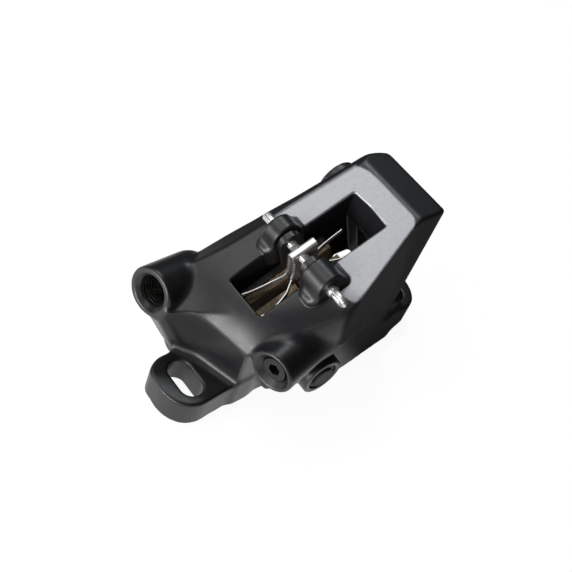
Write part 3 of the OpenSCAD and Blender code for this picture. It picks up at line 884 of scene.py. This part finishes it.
# Pad spring, in frame W. Each leg has its route in plan, and its top edge by share of its length
LEG_HALF, LEG_FOOT, LEG_LIFT = 0.2, -7.05, 0.35
LEGS = (
    ([(-3.2, 0.98), (-4.6, 1.02), (-6.4, 1.35), (-9.0, 1.8), (-12.0, 2.3), (-15.2, 3.0), (-16.9, 3.55)],
     [(0, 1.6), (0.10, -2.6), (0.18, -5.0), (0.30, -5.6), (1, -5.5)]),
    ([(-3.2, -0.98), (-4.5, -1.15), (-6.2, -2.2), (-8.4, -3.5), (-12.4, -4.6), (-15.0, -4.75), (-16.7, -4.5)],
     [(0, 0.6), (0.08, -3.4), (0.16, -4.9), (0.3, -5.0), (1, -5.3)]),
    ([(2.4, 0.98), (4.4, 1.15), (6.6, 1.7), (10.0, 2.1), (14.2, 2.35)],
     [(0, 0.5), (0.12, -3.6), (0.25, -5.0), (1, -5.4)]),
    ([(2.4, -0.98), (3.9, -1.3), (6.2, -3.0), (9.3, -4.3), (13.5, -4.95)],
     [(0, 0.5), (0.12, -3.6), (0.25, -5.0), (1, -5.4)]),
)
SADDLE_HALF, SADDLE_TOP, SADDLE_FOOT, SADDLE_T = 1.2, 3.9, -7.2, 0.45
SADDLE_R_OUT, SADDLE_R_IN = 0.75, 0.30
WAIST_Z = (-7.2, -4.6, -3.2, 1.0, 2.2, 3.9)
WAIST_HALF = (4.4, 4.4, 2.9, 3.55, 3.8, 3.8)
SADDLE_SHIFT, SHIFT_FROM, SHIFT_RISE = 1.0, -3.2, 4.2
SADDLE_STEP = 0.6


def ribbon(path, half_t, z_lo, z_hi):
    """Points and faces of a strip of sheet on edge that follows path; z_lo and z_hi are per point."""
    n = len(path)
    e = min(0.12, half_t * 0.5)
    V = []
    for i in range(n):
        tg = unit(path[min(i + 1, n - 1)] - path[max(i - 1, 0)])
        nr = np.array([-tg[1], tg[0]])
        lo, hi = z_lo[i], z_hi[i]
        ring = [(-1, lo + e), (-1, hi - e), (-0.45, hi), (0.45, hi), (1, hi - e), (1, lo + e), (0.45, lo),
                (-0.45, lo)]
        for s, z in ring:
            q = path[i] + nr * half_t * s
            V.append(w2b(q[0], q[1], z))
    return V, band_faces(n, len(ring))


def make_legs():
    V, F = [], []
    for route, top in LEGS:
        path = spline(route, 8)
        s = np.linspace(0, 1, len(path))
        hi = np.interp(s, [t[0] for t in top], [t[1] for t in top])
        hi[1:-1] = 0.25 * hi[:-2] + 0.5 * hi[1:-1] + 0.25 * hi[2:]
        points, faces = ribbon(path, LEG_HALF, LEG_FOOT + LEG_LIFT * s ** 3, hi)
        F += [tuple(len(V) + i for i in face) for face in faces]
        V += points
    return mesh_object("spring_legs", b2m(V), F, smooth=False)


def shell_half(y1, top, r, n):
    """A round-shouldered arch from y1 over the top to -y1."""
    right = arc(y1 - r, top - r, r, 0, math.pi / 2, n)
    left = arc(-y1 + r, top - r, r, math.pi / 2, math.pi, n)
    return [(y1, SADDLE_FOOT)] + right + left + [(-y1, SADDLE_FOOT)]


def make_saddle():
    """The folded saddle over the pin: a U section, swept along x with the photograph's waist."""
    outer = shell_half(SADDLE_HALF, SADDLE_TOP, SADDLE_R_OUT, 6)
    inner = shell_half(SADDLE_HALF - SADDLE_T, SADDLE_TOP - SADDLE_T, SADDLE_R_IN, 4)
    section = outer + inner[::-1]
    # the section is subdivided so that the waist shows
    fine = []
    for i, p in enumerate(section):
        a, b = np.array(p), np.array(section[(i + 1) % len(section)])
        m = max(1, int(np.linalg.norm(b - a) / SADDLE_STEP))
        fine += [a + (b - a) * j / m for j in range(m)]
    V = []
    for end in (-1, 1):
        for y, z in fine:
            middle = PIN_X + SADDLE_SHIFT * min(1.0, max(0.0, (z - SHIFT_FROM) / SHIFT_RISE))
            V.append(w2b(middle + end * np.interp(z, WAIST_Z, WAIST_HALF), y, z))
    m = len(fine)
    # the waist bends the ends, so their faces keep this order of points
    ends = [tuple(range(m)), tuple(reversed(range(m, 2 * m)))]
    return mesh_object("spring_saddle", b2m(V), band_faces(2, m)[:m] + ends, smooth=False)


def make_spring():
    """Pad spring: a folded saddle over the pin and four curved blades."""
    legs, saddle = make_legs(), make_saddle()
    for ob in (legs, saddle):
        fix_normals(ob)
    bevel(saddle, 0.08, 40)
    for ob in (legs, saddle):
        paint(ob, "spring")
        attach(ob, "caliper")
        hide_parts("pad_spring")


# Thread of the hose port
THREAD_FROM, THREAD_TO, THREAD_PITCH, THREAD_DEPTH = 1.3, 14.2, 1.0, 0.32
THREAD_STEPS, THREAD_SEG, THREAD_SINK = 6, 72, 0.03


def make_thread():
    """The rolled thread inside the hose port, as a thin lining with a helical ridge."""
    step = THREAD_PITCH / THREAD_STEPS
    n = int((THREAD_TO - THREAD_FROM) / step)
    u, v = side_vectors(HOSE_D)
    V, F = [], []
    for i in range(n + 1):
        t = THREAD_FROM + i * step
        fade = min(1.0, (t - THREAD_FROM) / THREAD_PITCH, (THREAD_TO - t) / THREAD_PITCH)
        for a in circle(THREAD_SEG):
            phase = (t / THREAD_PITCH - a / (2 * math.pi)) % 1.0
            ridge = min(1.0, (1 - abs(2 * phase - 1)) * 1.5)
            r = HOSE_BORE + THREAD_SINK - THREAD_DEPTH * fade * ridge
            V.append(HOSE_AT + HOSE_D * t + (u * math.cos(a) + v * math.sin(a)) * r)
    for i in range(n):
        p, q = i * THREAD_SEG, (i + 1) * THREAD_SEG
        for j in range(THREAD_SEG):
            k = (j + 1) % THREAD_SEG
            F.append((p + j, q + j, q + k, p + k))
    ob = mesh_object("hose_thread", b2m(V), F)
    paint(ob, "thread")
    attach(ob, "caliper")


# Looks of the CAD nodes that show as they are: material and bevel width in millimetres
NODE_LOOK = {
    "plate_near": ("plate", 0.12), "plate_far": ("plate", 0.12),
    "lining_near": ("lining", 0.10), "lining_far": ("lining", 0.10),
    "bleed_screw": ("screw", 0.18), "bleed_ring": ("rubber", 0), "side_seat": ("screw", 0.12),
    "side_cap": ("rubber", 0.18), "passage_plug": ("cap", 0.15), "hose_seat": ("seat", 0.10),
    "bore_cap_left": ("cap", 0.18), "bore_cap_right": ("cap", 0.18),
}
for place in ("near_left", "near_right", "far_left", "far_right"):
    NODE_LOOK["piston_" + place] = ("piston", 0.15)
    NODE_LOOK["seal_" + place] = ("rubber", 0)


def dress_nodes():
    for name, (key, width) in NODE_LOOK.items():
        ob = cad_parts[name]
        paint(ob, key)
        if width:
            bevel(ob, width)


# Stage, lights and camera, in metres
FLOOR_SIZE, FLOOR_Z = 6, -0.0004
FLOOR_GLOW = 0.93
SHADE_FROM, SHADE_TO, SHADE = 0.004, 0.022, 0.04
AMBIENT = 0.04
AIM = (0, 0, 0.025)
LIGHTS = (
    ("left_box", (-0.60, 0.00, 0.12), 0.50, 0.22, 4.6, (1, 1, 1)),
    ("top_box", (-0.19, 0.26, 0.54), 0.40, 0.40, 1.15, (1, 1, 1)),
    ("rim_box", (0.20, 0.27, 0.54), 0.15, 0.15, 0.75, (0.93, 0.97, 1.0)),
    ("front_box", (-0.36, -0.46, 0.32), 0.08, 0.20, 0.16, (1, 1, 1)),
)
CAMERA_AT = (-0.15838488, -0.09974433, 0.21337442)
CAMERA_TURN = (41.8846, -16.2864, -38.3674)
CAMERA_LENS, CAMERA_SENSOR, CAMERA_CLIP = 62.934, 36, 0.01


def make_stage():
    """White floor: camera rays see it white, and glossy rays too, fading to the right of the part."""
    bpy.ops.mesh.primitive_plane_add(size=FLOOR_SIZE, location=(0, 0, FLOOR_Z))
    floor = bpy.context.object
    floor.name = "floor"
    m, nt, sh, out = new_material("floor_white")
    sh.inputs["Base Color"].default_value = (0.15, 0.15, 0.152, 1)
    sh.inputs["Roughness"].default_value = 0.95
    sh.inputs["Specular IOR Level"].default_value = 0.1
    em = nt.nodes.new("ShaderNodeEmission")
    em.inputs["Color"].default_value = (1, 1, 1, 1)
    lp = nt.nodes.new("ShaderNodeLightPath")
    geo = nt.nodes.new("ShaderNodeNewGeometry")
    sep = nt.nodes.new("ShaderNodeSeparateXYZ")
    nt.links.new(geo.outputs["Position"], sep.inputs["Vector"])
    fade = nt.nodes.new("ShaderNodeMapRange")
    fade.interpolation_type = "SMOOTHSTEP"
    for key, value in (("From Min", SHADE_FROM), ("From Max", SHADE_TO), ("To Min", 1.0), ("To Max", SHADE)):
        fade.inputs[key].default_value = value
    nt.links.new(sep.outputs["X"], fade.inputs["Value"])
    glossy = calc(nt, "MULTIPLY", lp.outputs["Is Glossy Ray"], fade.outputs["Result"])
    strength = calc(nt, "MULTIPLY_ADD", lp.outputs["Is Camera Ray"], FLOOR_GLOW, glossy)
    nt.links.new(strength, em.inputs["Strength"])
    mx = nt.nodes.new("ShaderNodeAddShader")
    nt.links.new(sh.outputs["BSDF"], mx.inputs[0])
    nt.links.new(em.outputs["Emission"], mx.inputs[1])
    nt.links.new(mx.outputs["Shader"], out.inputs["Surface"])
    floor.data.materials.append(m)


def make_light(name, at, size_x, size_y, energy, color):
    li = bpy.data.lights.new(name, "AREA")
    li.shape = "RECTANGLE"
    li.size = size_x
    li.size_y = size_y
    li.energy = energy
    li.color = color
    ob = bpy.data.objects.new(name, li)
    bpy.context.scene.collection.objects.link(ob)
    ob.location = at
    ob.rotation_euler = (Vector(AIM) - Vector(at)).to_track_quat("-Z", "Y").to_euler()


def make_world():
    """White to the camera, and a low ambient light to everything else."""
    w = bpy.data.worlds.new("studio")
    bpy.context.scene.world = w
    w.use_nodes = True
    nt = w.node_tree
    bg = [n for n in nt.nodes if n.type == "BACKGROUND"][0]
    bg.inputs["Color"].default_value = (1, 1, 1, 1)
    lp = nt.nodes.new("ShaderNodeLightPath")
    mr = nt.nodes.new("ShaderNodeMapRange")
    mr.inputs["To Min"].default_value = AMBIENT
    mr.inputs["To Max"].default_value = 1.0
    nt.links.new(lp.outputs["Is Camera Ray"], mr.inputs["Value"])
    nt.links.new(mr.outputs["Result"], bg.inputs["Strength"])


def make_camera():
    cam = bpy.data.cameras.new("camera")
    cam.lens = CAMERA_LENS
    cam.sensor_width = CAMERA_SENSOR
    cam.clip_start = CAMERA_CLIP
    ob = bpy.data.objects.new("camera", cam)
    bpy.context.scene.collection.objects.link(ob)
    ob.location = CAMERA_AT
    ob.rotation_euler = tuple(math.radians(v) for v in CAMERA_TURN)
    bpy.context.scene.camera = ob


make_body()
make_pin()
make_spring()
make_thread()
dress_nodes()
make_stage()
make_world()
for light in LIGHTS:
    make_light(*light)
make_camera()
bpy.context.scene.view_settings.view_transform = "Standard"
